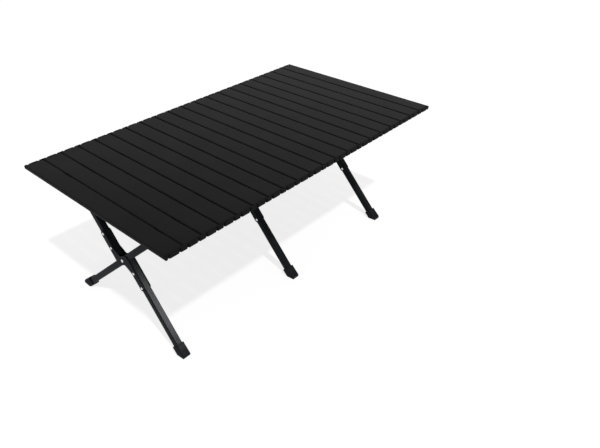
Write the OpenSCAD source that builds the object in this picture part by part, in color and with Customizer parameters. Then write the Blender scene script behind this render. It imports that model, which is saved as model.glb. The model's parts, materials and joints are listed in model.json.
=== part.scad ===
// Roll top camp table: a top of hinged slats on three X frames that fold in two directions.
// X runs along the table, Y across it from the near to the far side, Z up from the floor.

/* [Top] */
// Number of slats
slat_count = 20; // [14:1:20]
// Distance from one slat to the next
slat_pitch = 60; // [56:1:66]
// Open gap between two slats
slat_gap = 4; // [3:0.5:6]
// Thickness of a slat
slat_t = 12; // [11:0.5:16]
// Length of a slat over its end caps
slat_length = 600; // [520:10:800]
// Radius along the long edges of a slat
slat_edge = 3; // [2:0.5:4]
// Wall of the slat extrusion
slat_wall = 1; // [0.8:0.1:1.8]
// Number of ribs inside the slat extrusion
slat_ribs = 2; // [1:1:4]

/* [End caps] */
// Thickness of each of the two layers of ears
ear_t = 4; // [3:0.5:6]
// Depth of the hinge line below the top face
hinge_depth = 4.5; // [4:0.5:6]
// Radius of the outer ears, which carry the pegs
outer_ear_r = 13.3; // [11:0.1:16]
// Radius of the inner ears, which turn on the pegs
inner_ear_r = 5.5; // [4.5:0.1:8]
// Drop of the inner ears below the top face
inner_ear_drop = 2; // [0.5:0.1:2.5]
// Radius of the hinge pegs
peg_r = 2; // [1.5:0.1:2.4]
// Radius of the round notches at both sides of an ear
notch_r = 2.4; // [1:0.1:3]
// Depth of these notches along the slat
notch_depth = 4.6; // [3:0.1:6]
// Depth of the plugs inside the slat
plug_depth = 14; // [8:1:30]

/* [X frames] */
// Height of the top face above the floor
table_height = 440; // [400:5:520]
// Distance from an end of the table to the middle of the end frame
end_inset = 110; // [90:1:150]
// Shift of the pivots to the far side, so that feet and rails are off centre by the same amount
frame_shift = 7; // [0:1:15]
// Height of the pivots above the floor
pivot_height = 208; // [195:1:225]
// Distance from the near and the far edge of the top to the rails, on average
rail_inset = 107; // [95:1:120]
// Width of the square leg tube
tube = 20; // [18:0.5:22]
// Wall of the leg tube
tube_wall = 1.2; // [0.8:0.1:2]
// Corner radius of the leg tube
tube_corner = 2.5; // [1.5:0.1:4]
// Space between two tubes that lie side by side when folded
nest_gap = 1; // [0.5:0.1:3]
// Length of the cranked lug from its pin to the upper tube
lug_length = 40; // [36:1:60]
// Depth of the lug's plug in the upper tube
lug_plug = 25; // [10:1:40]

/* [Cross brackets] */
// Thickness of a bracket plate
plate_t = 2.5; // [1.5:0.1:4]
// Reach of the plate beyond the pivot, along the split leg
plate_web = 14; // [12:0.5:20]
// Reach of the plate beside the pivot, where it rounds the straight leg's far edge
plate_shoulder = 9; // [7:0.5:11]
// Distance along the split leg from the pivot to the end of the flare
plate_flare = 36; // [30:1:44]
// Distance along the split leg from the pivot to the first rivet
rivet_first = 48; // [44:1:60]
// Distance between the two rivets of an arm
rivet_step = 47; // [30:1:60]
// Radius of the tube rivets
rivet_r = 3; // [2:0.1:4]
// Radius of the pivot rivet
pivot_r = 4; // [3:0.1:5]

/* [Feet] */
// Width of a boot
boot_w = 27.5; // [26:0.5:36]
// Corner radius of a boot
boot_corner = 5; // [3:0.5:8]
// Length of a boot along the leg, from the floor to its rim
boot_length = 35; // [26:1:50]
// Height of the boot's rim
boot_rim = 3; // [2:0.5:8]
// Overhang of the boot's rim
boot_lip = 0.4; // [0.2:0.1:2]
// Distance on the floor from the leg's axis to the toe of the boot
boot_toe = 11; // [4:0.5:14]
// Angle by which the toe's side of a boot leans out from the leg
boot_lean = 4; // [1:0.5:8]
// Thickness of the sole under the tube
boot_sole = 5; // [3:0.5:8]
// Number of grooves in the toe
groove_count = 3; // [1:1:5]
// Width of a groove
groove_w = 2; // [1:0.1:3]
// Distance from one groove to the next
groove_step = 6; // [4:0.5:9]
// Length of a groove
groove_length = 16; // [8:1:24]

/* [Rails] */
// Height of the flat rail tubes
rail_h = 20; // [16:0.5:24]
// Thickness of the flat rail tubes
rail_t = 10; // [8:0.5:12]
// Wall of the rail tubes
rail_wall = 1.2; // [0.8:0.1:2]
// Solid length behind a pin hole of a rail tube
rail_plug = 14; // [12:1:30]
// Gap between two lapped rail tubes
lap_gap = 0.4; // [0.2:0.1:1]
// Distance along the rail from a frame's middle to its rail pins
rail_pin_x = 28; // [26:0.5:40]
// Radius of the rail pins
rail_pin_r = 3.5; // [2.5:0.1:4.5]
// Distance from an end of the table to the end of the rail stub
stub_inset = 23; // [10:1:40]

/* [Rail heads] */
// Depth of a head across the table
head_depth = 26; // [22:0.5:30]
// Wall of the cheeks beside the leg
cheek_t = 4.5; // [3:0.1:6]
// Height from the leg pins to the underside of the top
pin_drop = 27; // [25:0.5:40]
// Length of the cheeks below the leg pin
cheek_skirt = 13; // [10:0.5:20]
// Room above the eye of a leg
eye_room = 4; // [2:0.5:6]
// Radius of the leg pins
leg_pin_r = 4; // [3:0.1:5]
// Length of the spigot inside a rail stub
spigot = 22; // [10:1:40]

/* [Catches] */
// Length of a catch along the table
catch_length = 28; // [15:1:40]
// Depth of a catch below the slat
catch_depth = 10; // [5:0.5:12]
// Thickness of the catch's wall
catch_t = 4; // [2:0.5:6]
// Width of the catch's base on the slat
catch_base = 18; // [10:1:30]
// Thickness of the catch's base
catch_base_t = 2; // [1:0.5:3]

/* [Fits] */
// Radial clearance of a pin in the piece that turns on it
run_fit = 0.1; // [0.05:0.01:0.2]
// Radial clearance of a pin or rivet in the piece that it is fixed in
fixed_fit = 0.05; // [0.02:0.01:0.1]
// Clearance of a plug in a hollow section
plug_fit = 0.15; // [0.1:0.05:0.3]
// Gap between faces that move past each other
move_gap = 0.3; // [0.2:0.05:0.5]
// Gap between an ear's rim and the slat beside it
ear_gap = 0.5; // [0.3:0.1:1]
// Gap between the straight leg and the tube ends that stop it
stop_gap = 0.4; // [0.3:0.1:1]
// Overhang of a pin or rivet head around its shaft
head_rim = 2.5; // [1.5:0.1:3]
// Height of a pin or rivet head
head_h = 2; // [1:0.1:2.5]

/* [Hidden] */
$fn = 48;
slat_w = slat_pitch - slat_gap;
table_length = slat_pitch * slat_count - slat_gap;
profile_length = slat_length - 4 * ear_t - 2 * plug_fit;
cell_w = (slat_w - 2 * slat_wall - slat_ribs * slat_wall) / (slat_ribs + 1);
cell_h = slat_t - 2 * slat_wall;
cell_corner = slat_edge - slat_wall;
hinge_z = slat_t - hinge_depth;
rail_top = table_height - slat_t;
rail_z = rail_top - rail_h / 2;
lane_y = (lap_gap + rail_t) / 2;
lane_face = lap_gap / 2 + rail_t;
frame_spacing = table_length / 2 - end_inset;
pin_spread = slat_length / 2 - rail_inset;
knuckle_x = frame_spacing / 2;
pin_z = rail_top - pin_drop;
pin_rise = pin_z - pivot_height;
leg_angle = atan2(pin_rise, pin_spread);
leg_top = norm([pin_rise, pin_spread]);
cross_angle = 180 - 2 * leg_angle;
nest = tube + nest_gap;
split_start = tube / 2 / sin(cross_angle) + (nest + tube / 2) * abs(cos(cross_angle) / sin(cross_angle))
    + stop_gap;
split_end = leg_top - lug_length;
straight_floor = pivot_height / sin(leg_angle);
split_floor = (pivot_height + nest * cos(leg_angle)) / sin(leg_angle);
tube_lift = (boot_sole + tube / 2 * cos(leg_angle)) / sin(leg_angle);
straight_foot_y = frame_shift + straight_floor * cos(leg_angle);
split_foot_y = frame_shift - split_floor * cos(leg_angle) - nest * sin(leg_angle);
cheek_in = tube / 2 + move_gap;
cheek_out = cheek_in + cheek_t;
head_bottom = pin_z - cheek_skirt;
slot_top = pin_z + tube / 2 + eye_room;
// A length that reaches past every piece, for cutting tools
far_out = 1000;
// A depth that lets a cutting tool pass clear of a face
past = 1;

top_colour = "#2b2b2b";
frame_colour = "#303437";
head_colour = "#202020";
boot_colour = "#3a3b3c";
pin_colour = "#c8c8c8";

// The three frames along the table, and the two rails across it
frames = [-1, 0, 1];
sides = [-1, 1];
bays = [-1, 1];

function frame_word(p) = p == 0 ? "mid" : p < 0 ? "left" : "right";
function side_word(s) = s < 0 ? "near" : "far";
function slat_name(k) = str("slat_", k < 10 ? "0" : "", k);
function head_name(p, s) = str(side_word(s), "_head_", frame_word(p));
function inner_link_name(d, s) = str(side_word(s), "_inner_link_", frame_word(d));
function outer_link_name(d, s) = str(side_word(s), "_outer_link_", frame_word(d));
function frame_node(what, p) = str(what, "_", frame_word(p));

function slat_x(k) = (k - (slat_count + 1) / 2) * slat_pitch;
function frame_x(p) = p * frame_spacing;
function rail_y(s) = frame_shift + s * pin_spread;
function negated(points) = [for (p = points) -p];

// Flat shapes

// A rectangle with round corners, about the origin
module rounded_rect(w, h, r) {
    square([w - 2 * r, h], center = true);
    square([w, h - 2 * r], center = true);
    for (x = [-1, 1], y = [-1, 1]) {
        translate([x * (w / 2 - r), y * (h / 2 - r)]) circle(r);
    }
}

// The solid end view of a slat, standing on the X axis
module slat_outline() {
    translate([0, slat_t / 2]) rounded_rect(slat_w, slat_t, slat_edge);
}

// The hollow cells of a slat, each drawn smaller by the fit
module slat_cells(fit) {
    for (i = [0 : slat_ribs]) {
        translate([(i - slat_ribs / 2) * (cell_w + slat_wall), slat_t / 2])
            rounded_rect(cell_w - 2 * fit, cell_h - 2 * fit, cell_corner - fit);
    }
}

// A disc about a hinge line, cut off level with the faces of the slat
module ear_disc(x, r, drop) {
    intersection() {
        translate([x, hinge_z]) circle(r);
        translate([x - r, 0]) square([2 * r, slat_t - drop]);
    }
}

// Stands a flat shape up in the XZ plane and extrudes it along Y, from y0 to y1
module extrude_y(y0, y1) {
    translate([0, y1, 0]) rotate([90, 0, 0]) linear_extrude(y1 - y0) children();
}

// Pins and rivets

// A shaft along Z with a conical head beyond each end
module headed_pin(z0, z1, r) {
    translate([0, 0, z0]) cylinder(h = z1 - z0, r = r);
    translate([0, 0, z1]) cylinder(h = head_h, r1 = r + head_rim, r2 = r);
    translate([0, 0, z0 - head_h]) cylinder(h = head_h, r1 = r, r2 = r + head_rim);
}

// Turns a piece that stands along Z to lie along X
module along_x() {
    rotate([0, 90, 0]) children();
}

// Turns a piece that stands along Z to lie along Y
module along_y() {
    rotate([-90, 0, 0]) children();
}

// Top

// The near end cap of a slat: plugs, flange, inner ear on the left and outer ear on the right
module end_cap(first, last) {
    y_end = -slat_length / 2;
    y_mid = y_end + ear_t;
    y_profile = y_mid + ear_t;
    left = -slat_pitch / 2;
    right = slat_pitch / 2;
    difference() {
        union() {
            extrude_y(y_profile, y_profile + plug_depth) slat_cells(plug_fit);
            extrude_y(y_mid, y_profile) difference() {
                slat_outline();
                if (!last) translate([right, hinge_z]) circle(inner_ear_r + ear_gap);
            }
            if (!first) extrude_y(y_mid, y_profile - move_gap) ear_disc(left, inner_ear_r, inner_ear_drop);
            extrude_y(y_end, y_mid) difference() {
                slat_outline();
                if (!first) translate([left, hinge_z]) circle(outer_ear_r + ear_gap);
            }
            if (!last) extrude_y(y_end, y_mid - move_gap) ear_disc(right, outer_ear_r, 0);
        }
        if (!first) {
            translate([left, y_mid - past, hinge_z]) along_y()
                cylinder(h = ear_t + past, r = peg_r + run_fit);
        }
        for (x = [left, right], side = [-1, 1]) {
            translate([x + side * (outer_ear_r - ear_gap), y_end + notch_depth - notch_r, -past]) {
                cylinder(h = slat_t + 2 * past, r = notch_r);
                translate([-notch_r, -notch_depth, 0]) cube([2 * notch_r, notch_depth, slat_t + 2 * past]);
            }
        }
    }
    if (!last) {
        peg_start = y_end + ear_t / 2;
        translate([right, peg_start, hinge_z]) along_y()
            cylinder(h = y_profile - move_gap - peg_start, r = peg_r);
    }
}

// One slat: the hollow extrusion and an end cap on both ends
module slat(k) {
    translate([slat_x(k), 0, rail_top]) color(top_colour) {
        extrude_y(-profile_length / 2, profile_length / 2) difference() {
            slat_outline();
            slat_cells(0);
        }
        end_cap(k == 1, k == slat_count);
        mirror([0, 1, 0]) end_cap(k == 1, k == slat_count);
    }
}

// The catches under an end slat: walls that stand outside both rails
module catches(k) {
    color(head_colour) for (s = sides) {
        translate([slat_x(k) - catch_length / 2, rail_y(s), rail_top]) mirror([0, s < 0 ? 1 : 0, 0])
            translate([0, rail_t / 2 + move_gap, 0]) {
                translate([0, 0, -catch_depth]) cube([catch_length, catch_t, catch_depth]);
                translate([0, 0, -catch_base_t]) cube([catch_length, catch_base, catch_base_t]);
            }
    }
}

// Rails

// Moves to a rail, with Y pointing away from the middle of the table and Z from the rail's axis
module on_rail(x, s) {
    translate([x, rail_y(s), rail_z]) mirror([0, s < 0 ? 1 : 0, 0]) children();
}

// A rail pin fixed in one lane, with the other lane turning on it
module rail_pin(lane) {
    free_end = -lane * (lane_face + move_gap);
    fixed_end = lane * (lane_face + fixed_fit);
    color(pin_colour) along_y() headed_pin(min(free_end, fixed_end), max(free_end, fixed_end), rail_pin_r);
}

// A flat tube with a round eye at each end, in one lane of a rail
module flat_link(x0, x1, lane, fit0, fit1) {
    inside = [x1 - x0 - 2 * rail_plug, rail_t - 2 * rail_wall, rail_h - 2 * rail_wall];
    color(frame_colour) translate([0, lane * lane_y, 0]) difference() {
        extrude_y(-rail_t / 2, rail_t / 2) {
            translate([x0, -rail_h / 2]) square([x1 - x0, rail_h]);
            translate([x0, 0]) circle(rail_h / 2);
            translate([x1, 0]) circle(rail_h / 2);
        }
        translate([(x0 + x1) / 2, 0, 0]) cube(inside, center = true);
        translate([x0, 0, 0]) along_y() cylinder(h = 2 * rail_t, r = rail_pin_r + fit0, center = true);
        translate([x1, 0, 0]) along_y() cylinder(h = 2 * rail_t, r = rail_pin_r + fit1, center = true);
    }
}

// The link between the middle head and the knuckle, in the outer lane
module inner_link(d, s) {
    on_rail(0, s) mirror([d < 0 ? 1 : 0, 0, 0])
        flat_link(rail_pin_x, knuckle_x, 1, run_fit, run_fit);
}

// The link between the knuckle and an end head, in the inner lane, with the knuckle's pin
module outer_link(d, s) {
    on_rail(0, s) mirror([d < 0 ? 1 : 0, 0, 0]) {
        flat_link(knuckle_x, frame_spacing - rail_pin_x, -1, fixed_fit, run_fit);
        translate([knuckle_x, 0, 0]) rail_pin(-1);
    }
}

// A lug on the side of a head, which laps the eye of a link
module head_lug(d, lane) {
    mirror([d < 0 ? 1 : 0, 0, 0]) translate([0, lane * lane_y, 0]) extrude_y(-rail_t / 2, rail_t / 2) {
        translate([cheek_in, -rail_h / 2]) square([rail_pin_x - cheek_in, rail_h]);
        translate([rail_pin_x, 0]) circle(rail_h / 2);
    }
}

// The tube that carries the outermost slats, on a spigot of an end head
module rail_stub(p) {
    start = cheek_out + plug_fit;
    stub = table_length / 2 - stub_inset - frame_spacing - start;
    color(frame_colour) mirror([p < 0 ? 1 : 0, 0, 0]) translate([start, 0, 0]) difference() {
        translate([0, -rail_t / 2, -rail_h / 2]) cube([stub, rail_t, rail_h]);
        translate([-past, -rail_t / 2 + rail_wall, -rail_h / 2 + rail_wall])
            cube([stub + 2 * past, rail_t - 2 * rail_wall, rail_h - 2 * rail_wall]);
    }
}

// The moulded body of a head: two cheeks under a roof, lugs and a spigot
module head_body(p, lug_sides, lane) {
    skirt_z = head_bottom - rail_z;
    spigot_t = rail_t - 2 * rail_wall - 2 * plug_fit;
    spigot_h = rail_h - 2 * rail_wall - 2 * plug_fit;
    color(head_colour) difference() {
        union() {
            translate([-cheek_out, -head_depth / 2, skirt_z])
                cube([2 * cheek_out, head_depth, rail_h / 2 - skirt_z]);
            for (d = lug_sides) head_lug(d, lane);
            if (p != 0) {
                mirror([p < 0 ? 1 : 0, 0, 0]) translate([cheek_in, -spigot_t / 2, -spigot_h / 2])
                    cube([cheek_t + spigot, spigot_t, spigot_h]);
            }
        }
        translate([-cheek_in, -head_depth, skirt_z - past])
            cube([2 * cheek_in, 2 * head_depth, slot_top - head_bottom + past]);
        translate([0, 0, pin_z - rail_z]) along_x()
            cylinder(h = 2 * cheek_out + 2 * past, r = leg_pin_r + fixed_fit, center = true);
        for (d = lug_sides) {
            translate([d * rail_pin_x, 0, 0]) along_y()
                cylinder(h = 2 * head_depth, r = rail_pin_r + fixed_fit, center = true);
        }
    }
}

// A rail head: the body, the leg pin, the rail pins and, on an end frame, the rail stub
module rail_head(p, s) {
    lug_sides = p == 0 ? bays : [-p];
    lane = p == 0 ? -1 : 1;
    grip = cheek_out + fixed_fit;
    on_rail(frame_x(p), s) {
        head_body(p, lug_sides, lane);
        translate([0, 0, pin_z - rail_z]) color(pin_colour) along_x() headed_pin(-grip, grip, leg_pin_r);
        for (d = lug_sides) translate([d * rail_pin_x, 0, 0]) rail_pin(lane);
        if (p != 0) rail_stub(p);
    }
}

// X frames

// Moves to a pivot, with Z up along the straight leg, which leans to the near side
module on_straight_leg(p) {
    translate([frame_x(p), frame_shift, pivot_height]) rotate([90 - leg_angle, 0, 0]) children();
}

// Moves to a pivot, with Z up along the split leg, which leans to the far side
module on_split_leg(p) {
    translate([frame_x(p), frame_shift, pivot_height]) rotate([leg_angle - 90, 0, 0]) children();
}

// A square tube along Z
module leg_tube(z0, z1) {
    translate([0, 0, z0]) linear_extrude(z1 - z0) difference() {
        rounded_rect(tube, tube, tube_corner);
        rounded_rect(tube - 2 * tube_wall, tube - 2 * tube_wall, tube_corner - tube_wall);
    }
}

// A hole across a tube, along X
module cross_hole(z, r) {
    translate([0, 0, z]) along_x() cylinder(h = 2 * tube, r = r, center = true);
}

module straight_leg(p) {
    foot_end = tube_lift - straight_floor;
    color(frame_colour) on_straight_leg(p) difference() {
        intersection() {
            leg_tube(foot_end, leg_top + tube / 2);
            union() {
                translate([-tube, -tube, foot_end - past])
                    cube([2 * tube, 2 * tube, leg_top - foot_end + past]);
                translate([0, 0, leg_top]) along_x() cylinder(h = 2 * tube, r = tube / 2, center = true);
            }
        }
        cross_hole(leg_top, leg_pin_r + run_fit);
        cross_hole(0, pivot_r + run_fit);
    }
}

module split_lower_tube(p) {
    color(frame_colour) on_split_leg(p) translate([0, -nest, 0]) difference() {
        leg_tube(tube_lift - split_floor, -split_start);
        for (i = [0, 1]) cross_hole(-rivet_first - i * rivet_step, rivet_r + fixed_fit);
    }
}

module split_upper_tube(p) {
    color(frame_colour) on_split_leg(p) translate([0, nest, 0]) difference() {
        leg_tube(split_start, split_end);
        for (i = [0, 1]) cross_hole(rivet_first + i * rivet_step, rivet_r + fixed_fit);
    }
}

// The lug that brings the top pin of a split leg back in line with the pivot
module top_lug(p) {
    half = tube / 2;
    plug_w = tube - 2 * tube_wall - 2 * plug_fit;
    outline = [
        [-half, 0],
        [half, 0],
        [nest + half, half - lug_length],
        [nest + half, -lug_length],
        [nest - half, -lug_length],
        [-half, -half]
    ];
    color(head_colour) on_split_leg(p) translate([0, 0, leg_top]) {
        difference() {
            rotate([90, 0, 90]) linear_extrude(tube, center = true) {
                polygon(outline);
                circle(half);
            }
            along_x() cylinder(h = 2 * tube, r = leg_pin_r + run_fit, center = true);
        }
        translate([0, nest, -lug_length - lug_plug]) linear_extrude(lug_plug)
            rounded_rect(plug_w, plug_w, tube_corner - tube_wall);
    }
}

// The outline of a bracket plate in the plane of the frame: an arm along each half of the split leg
module plate_outline() {
    arm = rivet_first + rivet_step;
    inner = nest - tube / 2;
    outer = nest + tube / 2;
    half_outline = [
        [-inner, -arm],
        [-outer, -arm],
        [-outer, 0],
        [-nest, plate_shoulder],
        [0, plate_web],
        [inner, plate_flare]
    ];
    polygon(concat(half_outline, negated(half_outline)));
    for (side = [-1, 1]) translate([side * nest, side * arm]) circle(tube / 2);
}

// The middles of the tube rivets, as distances across and along the split leg
function rivet_places() =
    [for (side = [-1, 1], i = [0, 1]) [side * nest, side * (rivet_first + i * rivet_step)]];

module cross_bracket(p) {
    color(frame_colour) on_split_leg(p) for (side = [-1, 1]) {
        translate([side * (tube + plate_t) / 2, 0, 0]) rotate([90, 0, 90])
            linear_extrude(plate_t, center = true) difference() {
                plate_outline();
                circle(pivot_r + fixed_fit);
                for (place = rivet_places()) translate(place) circle(rivet_r + fixed_fit);
            }
    }
}

module cross_rivets(p) {
    grip = tube / 2 + plate_t + fixed_fit;
    color(pin_colour) on_split_leg(p) {
        along_x() headed_pin(-grip, grip, pivot_r);
        for (place = rivet_places()) {
            translate([0, place[0], place[1]]) along_x() headed_pin(-grip, grip, rivet_r);
        }
    }
}

// Feet

// A boot along a leg whose axis meets the floor at z = -reach, with its toe on one side
module boot_along_leg(reach, toe_side) {
    rim_z = boot_length - reach;
    socket_w = tube + 2 * fixed_fit;
    difference() {
        union() {
            for (lean = [0, toe_side * boot_lean]) {
                translate([0, 0, rim_z]) rotate([lean, 0, 0]) translate([0, 0, -boot_length - boot_w])
                    linear_extrude(boot_length + boot_w) rounded_rect(boot_w, boot_w, boot_corner);
            }
            translate([0, 0, rim_z - boot_rim]) linear_extrude(boot_rim)
                rounded_rect(boot_w + 2 * boot_lip, boot_w + 2 * boot_lip, boot_corner + boot_lip);
        }
        translate([0, 0, tube_lift - reach]) linear_extrude(boot_length)
            rounded_rect(socket_w, socket_w, tube_corner + fixed_fit);
        for (i = [0 : groove_count - 1]) {
            translate([0, 0, rim_z]) rotate([toe_side * boot_lean, 0, 0])
                translate([(i - (groove_count - 1) / 2) * groove_step, toe_side * boot_w / 2, -boot_length])
                    cube([groove_w, groove_w, 2 * groove_length], center = true);
        }
    }
}

// The room above the floor and behind the toe, for a foot whose axis meets the floor at y
module foot_room(p, y, toe_side) {
    y0 = toe_side < 0 ? y - boot_toe : y + boot_toe - far_out;
    translate([frame_x(p) - boot_w, y0, 0]) cube([2 * boot_w, far_out, table_height]);
}

module straight_foot(p) {
    color(boot_colour) intersection() {
        on_straight_leg(p) boot_along_leg(straight_floor, 1);
        foot_room(p, straight_foot_y, 1);
    }
}

module split_foot(p) {
    color(boot_colour) intersection() {
        on_split_leg(p) translate([0, -nest, 0]) boot_along_leg(split_floor, -1);
        foot_room(p, split_foot_y, -1);
    }
}

for (k = [1 : slat_count]) slat(k);
for (s = sides, p = frames) rail_head(p, s);
for (s = sides, d = bays) inner_link(d, s);
for (s = sides, d = bays) outer_link(d, s);
for (p = frames) {
    straight_leg(p);
    straight_foot(p);
    split_lower_tube(p);
    split_upper_tube(p);
    split_foot(p);
    cross_bracket(p);
    cross_rivets(p);
    top_lug(p);
}
catches(1);  // catches_left
catches(slat_count);  // catches_right
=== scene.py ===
"""Dresses a roll top camp table: slats, end caps, X frames, rails, feet, their finishes and a studio.

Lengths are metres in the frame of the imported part: X along the table, Y across it from the near to the
far side, Z up from the floor.
"""

import json
import math

import bmesh
import bpy
import numpy as np
from bpy.props import FloatProperty, FloatVectorProperty, IntProperty, PointerProperty, StringProperty
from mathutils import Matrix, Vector


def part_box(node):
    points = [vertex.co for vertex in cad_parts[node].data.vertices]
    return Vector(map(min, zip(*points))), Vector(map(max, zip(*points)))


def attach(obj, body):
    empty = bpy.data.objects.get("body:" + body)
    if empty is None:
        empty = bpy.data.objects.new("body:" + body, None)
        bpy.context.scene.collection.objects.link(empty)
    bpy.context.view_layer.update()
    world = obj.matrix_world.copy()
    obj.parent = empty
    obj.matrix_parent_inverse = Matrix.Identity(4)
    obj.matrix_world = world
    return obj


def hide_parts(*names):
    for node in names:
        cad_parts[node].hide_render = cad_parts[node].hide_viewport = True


bl_info = {
    "name": "Roll top camp table",
    "version": (1, 0, 0),
    "blender": (4, 5, 0),
    "location": "View3D > Sidebar > Camp table",
    "description": "Builds the visible pieces of a roll top camp table around its packed frame",
    "category": "Object",
}

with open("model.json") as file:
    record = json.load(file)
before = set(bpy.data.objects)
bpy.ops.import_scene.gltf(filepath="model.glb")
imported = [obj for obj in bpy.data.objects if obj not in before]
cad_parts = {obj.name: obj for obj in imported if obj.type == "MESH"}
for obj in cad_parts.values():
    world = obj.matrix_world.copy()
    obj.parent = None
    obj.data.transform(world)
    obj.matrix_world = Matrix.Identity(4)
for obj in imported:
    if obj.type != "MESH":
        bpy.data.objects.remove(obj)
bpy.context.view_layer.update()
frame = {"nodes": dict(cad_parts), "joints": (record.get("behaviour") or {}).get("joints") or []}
MM = 0.001
X, Y, Z = np.eye(3)

JOINT_AT = {joint["name"]: np.array(joint["pos_m"]) for joint in frame["joints"] if "pos_m" in joint}
FRAME_WORDS = ("left", "mid", "right")
SLAT_NODES = sorted(name for name in frame["nodes"] if name.startswith("slat_"))
SLAT_LOW, SLAT_HIGH = (np.array(corner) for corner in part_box(SLAT_NODES[1]))
FIRST_HINGE = JOINT_AT["slat_roll_01"]
SLAT_PITCH = JOINT_AT["slat_roll_02"][0] - FIRST_HINGE[0]
NEAR_Y = JOINT_AT["width_fold"][1]
FAR_Y = JOINT_AT["far_head_fold_mid"][1]
PIN_Z = JOINT_AT["width_fold"][2]
RAIL_Z = JOINT_AT["length_fold"][2]
FRAME_AT = {word: JOINT_AT["cross_pivot_" + word] for word in FRAME_WORDS}
LEG_RISE = math.atan2(PIN_Z - FRAME_AT["mid"][2], FAR_Y - FRAME_AT["mid"][1])
# Each rail's place across the table, and the direction away from the table's middle
RAILS = {"near": (NEAR_Y, -Y), "far": (FAR_Y, Y)}

ARC_STEPS = 7  # points on a corner's arc
SMALLEST_ROUND = 0.02 * MM
MERGE_WITHIN = 0.002 * MM
SHARP_ANGLE = math.radians(40)
# Radius of a round end as a share of half the width: under 1, so that its two arcs don't meet
PLATE_END, TUBE_END = 0.99, 0.995
TONE_DRIFT = 90 * MM
# Where a noise turns from one tone to the other, and the range that most of its values lie in
TONE_SPAN = (0.35, 0.7)
NOISE_SPAN = (0.3, 0.7)
FILM_WIDTH = 36  # millimetres
FLOOR_REACH = 30.0  # metres to each side


def length(name, description, default):
    """A length property in metres, from millimetres."""
    return FloatProperty(name=name, description=description, default=default * MM, unit="LENGTH", precision=5)


def hex_colour(name, description, default):
    """A colour property, as an sRGB hex value."""
    return StringProperty(name=name, description=description, default=default)


class SlatSizes(bpy.types.PropertyGroup):
    """Sizes of the slats and of their end caps."""

    width: length("Width", "Width of a slat", 56)
    edge: length("Edge radius", "Radius along the long edges of a slat", 3)
    bar_end: length("Bar end", "Radius along the edges of a bar's two ends", 0.2)
    seat: length("Seat", "Room between a slat's underside and the rails that it rests on", 0.05)
    layer: length("Ear layer", "Thickness of each of the two layers of ears", 4)
    slack: length("Ear slack", "Gap between layers that turn past each other", 0.3)
    outer_ear: length("Outer ear", "Radius of the outer ears", 13.3)
    inner_ear: length("Inner ear", "Radius of the inner ears", 5.5)
    inner_drop: length("Inner ear drop", "Drop of the inner ears below the top face", 2)
    ear_gap: length("Ear gap", "Gap between an ear's rim and the slat beside it", 0.5)
    notch: length("Notch", "Radius of the round notches at both sides of an ear", 2.4)
    notch_depth: length("Notch depth", "Depth of these notches along the slat", 4.6)
    cap_round: length("Cap edge", "Radius along the outer edges of a cap", 0.7)


class FrameSizes(bpy.types.PropertyGroup):
    """Sizes of the X frames: tubes, cross plates and rivets."""

    tube: length("Tube", "Width of the square leg tube", 20)
    nest: length("Nest", "Offset of each half of the split leg from the pivot", 21)
    plate: length("Plate", "Thickness of a cross plate", 2.5)
    plate_edge: length("Plate edge", "Radius along the edges of a cross plate", 0.9)
    web: length("Web", "Reach of the plate beyond the pivot, along the split leg", 14)
    shoulder: length("Shoulder", "Reach of the plate beside the pivot", 9)
    flare: length("Flare", "Distance from the pivot to the end of the plate's flare", 45)
    first_rivet: length("First rivet", "Distance along the split leg to the first rivet", 48)
    rivet_step: length("Rivet step", "Distance between the two rivets of an arm", 47)
    rivet: length("Rivet", "Radius of a tube rivet's head", 4.2)
    pivot: length("Pivot", "Radius of the pivot rivet's head", 5)
    rivet_rise: length("Rivet rise", "Height of a rivet head", 2)
    lug_length: length("Lug", "Length of the cranked lug from its pin to the upper tube", 40)


class RailSizes(bpy.types.PropertyGroup):
    """Sizes of the rails and of the heads that carry them."""

    height: length("Height", "Height of the flat rail tubes", 20)
    thick: length("Thickness", "Thickness of the flat rail tubes", 10)
    wall: length("Wall", "Wall of the rail tubes", 1.2)
    lap: length("Lap", "Gap between two lapped rail tubes", 0.4)
    edge: length("Edge", "Radius along the edges of the rail tubes", 1.5)
    pin: length("Rail pin", "Radius of a rail pin's head", 6)
    leg_pin: length("Leg pin", "Radius of a leg pin's head", 6.5)
    pin_rise: length("Pin rise", "Height of a pin's head", 2)
    pin_slack: length("Pin slack", "Gap under the head of a pin at the piece that turns", 0.3)
    head_depth: length("Head depth", "Depth of a head across the table", 26)
    slot_half: length("Slot", "Half the width of the slot for a leg", 10.3)
    cheek: length("Cheek", "Wall of the cheeks beside a leg", 4.5)
    skirt: length("Skirt", "Length of the cheeks below the leg pin", 13)
    slot_top: length("Slot top", "Height of the slot above the leg pin", 14)
    moulded_edge: length("Moulded edge", "Radius along the edges of the moulded heads", 1.2)
    stub_reach: length("Stub", "Reach of the rail stub beyond the middle of an end frame", 87)


class FootSizes(bpy.types.PropertyGroup):
    """Sizes of the boots on the leg ends."""

    width: length("Width", "Width of a boot", 27.5)
    corner: length("Corner", "Corner radius of a boot", 5)
    reach: length("Length", "Length along the leg from the floor to the rim", 35)
    rim: length("Rim", "Height of the boot's rim", 3)
    lip: length("Lip", "Overhang of the boot's rim", 0.4)
    toe: length("Toe", "Distance on the floor from the leg's axis to the toe", 11)
    lean: FloatProperty(name="Lean", description="Angle by which the toe's side leans out from the leg",
                        subtype="ANGLE", default=math.radians(4))
    edge: length("Edge", "Radius along the edges of the sole", 1.2)
    grooves: IntProperty(name="Grooves", description="Number of grooves in the toe", default=4)
    groove_step: length("Groove step", "Distance from one groove to the next", 4.6)
    groove_width: length("Groove width", "Width of a groove", 2.6)
    groove_depth: length("Groove depth", "Depth of a groove", 1.6)
    groove_length: length("Groove length", "Length of a groove along the leg", 19)


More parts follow.
